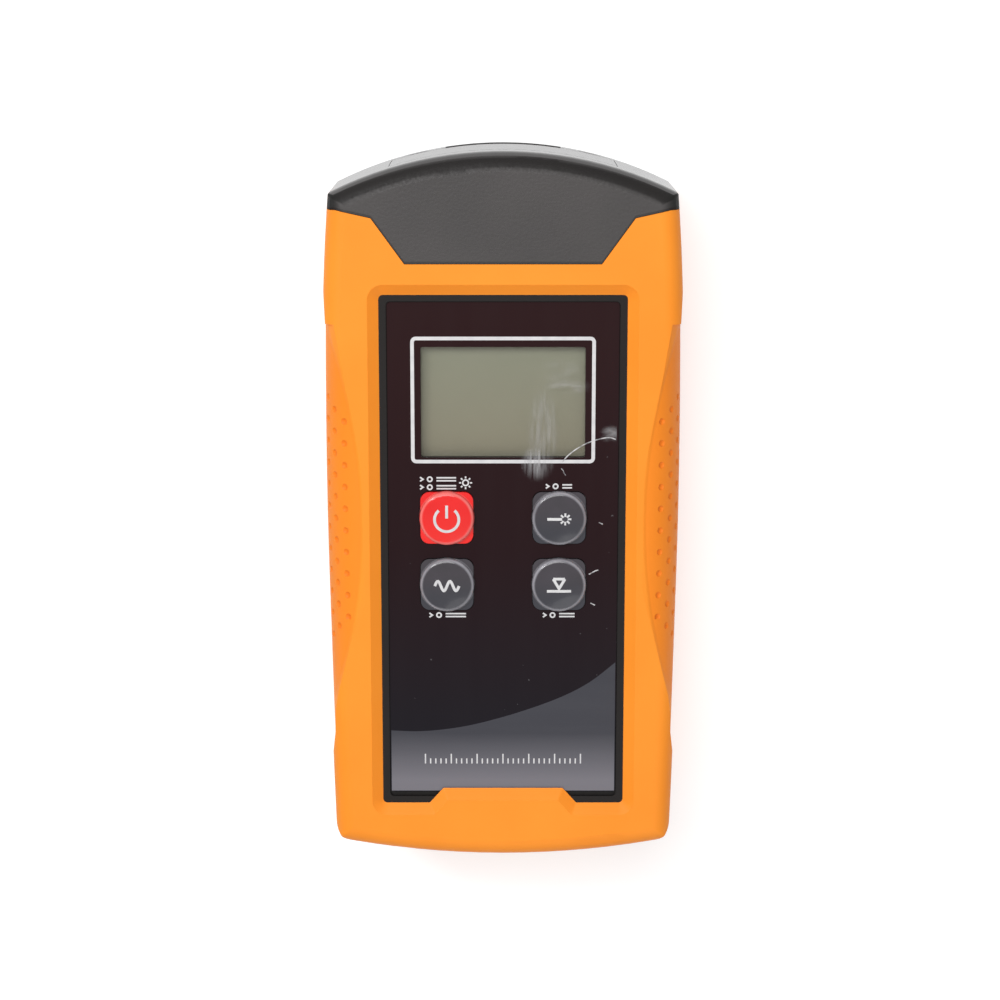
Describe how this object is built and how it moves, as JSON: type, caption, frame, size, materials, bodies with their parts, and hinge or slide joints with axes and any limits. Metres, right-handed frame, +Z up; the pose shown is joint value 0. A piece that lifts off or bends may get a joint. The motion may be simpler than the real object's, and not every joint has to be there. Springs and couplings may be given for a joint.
{
  "type": "optical power meter",
  "caption": "Handheld optical power meter in an orange rubber boot, with a small display, round domed keys and a flap over its fibre ports.",
  "frame": {"origin": "middle of the bounding box's base, on the surface the meter lies on", "axes": "+X across the meter to the right seen from the front, +Y along it towards the port end, +Z up out of the front face"},
  "size_m": [0.0794, 0.16, 0.038],
  "materials": {
    "boot_rubber": "satin",
    "housing_plastic": "matte",
    "overlay_film": "satin",
    "clear_pane": "gloss",
    "display_glass": "satin",
    "frame_plastic": "matte",
    "diffuser": "matte",
    "contact_rubber": "matte",
    "circuit_board": "satin",
    "steel_screw": "satin",
    "chip_black": "matte",
    "bright_can": "gloss",
    "switch_black": "matte",
    "tray_plastic": "matte",
    "adapter_nickel": "satin",
    "sleeve_ceramic": "satin",
    "module_brass": "satin",
    "flap_plastic": "matte",
    "steel_pin": "satin",
    "door_plastic": "matte",
    "contact_nickel": "satin",
    "key_grey": "gloss",
    "key_red": "gloss",
    "cell_wrap": "gloss"
  },
  "bodies": {
    "housing": {"adapter_screws": "steel_screw", "amplifier_chip": "chip_black", "back_shell": "housing_plastic", "battery_1": "cell_wrap", "battery_2": "cell_wrap", "battery_3": "cell_wrap", "board_screws": "steel_screw", "case_screws": "steel_screw", "contacts_foot": "contact_nickel", "contacts_top": "contact_nickel", "controller_chip": "chip_black", "crystal": "bright_can", "detector_adapter": "adapter_nickel", "detector_board": "circuit_board", "display_contact_strips": "contact_rubber", "display_glass": "display_glass", "display_holder": "frame_plastic", "display_light": "diffuser", "display_window": "clear_pane", "flap_pin": "steel_pin", "front_overlay": "overlay_film", "front_shell": "housing_plastic", "laser_adapter": "adapter_nickel", "laser_module": "module_brass", "laser_sleeve": "sleeve_ceramic", "laser_switch": "switch_black", "main_board": "circuit_board", "photodiode": "bright_can", "port_bay": "tray_plastic", "power_switch": "switch_black", "reference_switch": "switch_black", "rubber_boot": "boot_rubber", "wavelength_switch": "switch_black"},
    "power_key_body": {"power_key": "key_red"},
    "laser_key_body": {"laser_key": "key_grey"},
    "wavelength_key_body": {"wavelength_key": "key_grey"},
    "reference_key_body": {"reference_key": "key_grey"},
    "port_flap_body": {"port_flap": "flap_plastic"},
    "battery_door_body": {"battery_door": "door_plastic"}
  },
  "joints": [
    {"name": "power_key_press", "type": "slide", "parent": "housing", "child": "power_key_body", "axis": [0, 0, -1], "range_m": [0, 0.0006], "stiffness_N_per_m": 1500},
    {"name": "laser_key_press", "type": "slide", "parent": "housing", "child": "laser_key_body", "axis": [0, 0, -1], "range_m": [0, 0.0006], "stiffness_N_per_m": 1500},
    {"name": "wavelength_key_press", "type": "slide", "parent": "housing", "child": "wavelength_key_body", "axis": [0, 0, -1], "range_m": [0, 0.0006], "stiffness_N_per_m": 1500},
    {"name": "reference_key_press", "type": "slide", "parent": "housing", "child": "reference_key_body", "axis": [0, 0, -1], "range_m": [0, 0.0006], "stiffness_N_per_m": 1500},
    {"name": "port_flap_hinge", "type": "hinge", "parent": "housing", "child": "port_flap_body", "pos_m": [0, 0.0777, 0.0093], "axis": [-1, 0, 0], "range_deg": [0, 90]},
    {"name": "battery_door_tilt", "type": "hinge", "parent": "housing", "child": "battery_door_body", "pos_m": [0, -0.06575, 0.0017], "axis": [-1, 0, 0], "range_deg": [0, 35]}
  ]
}
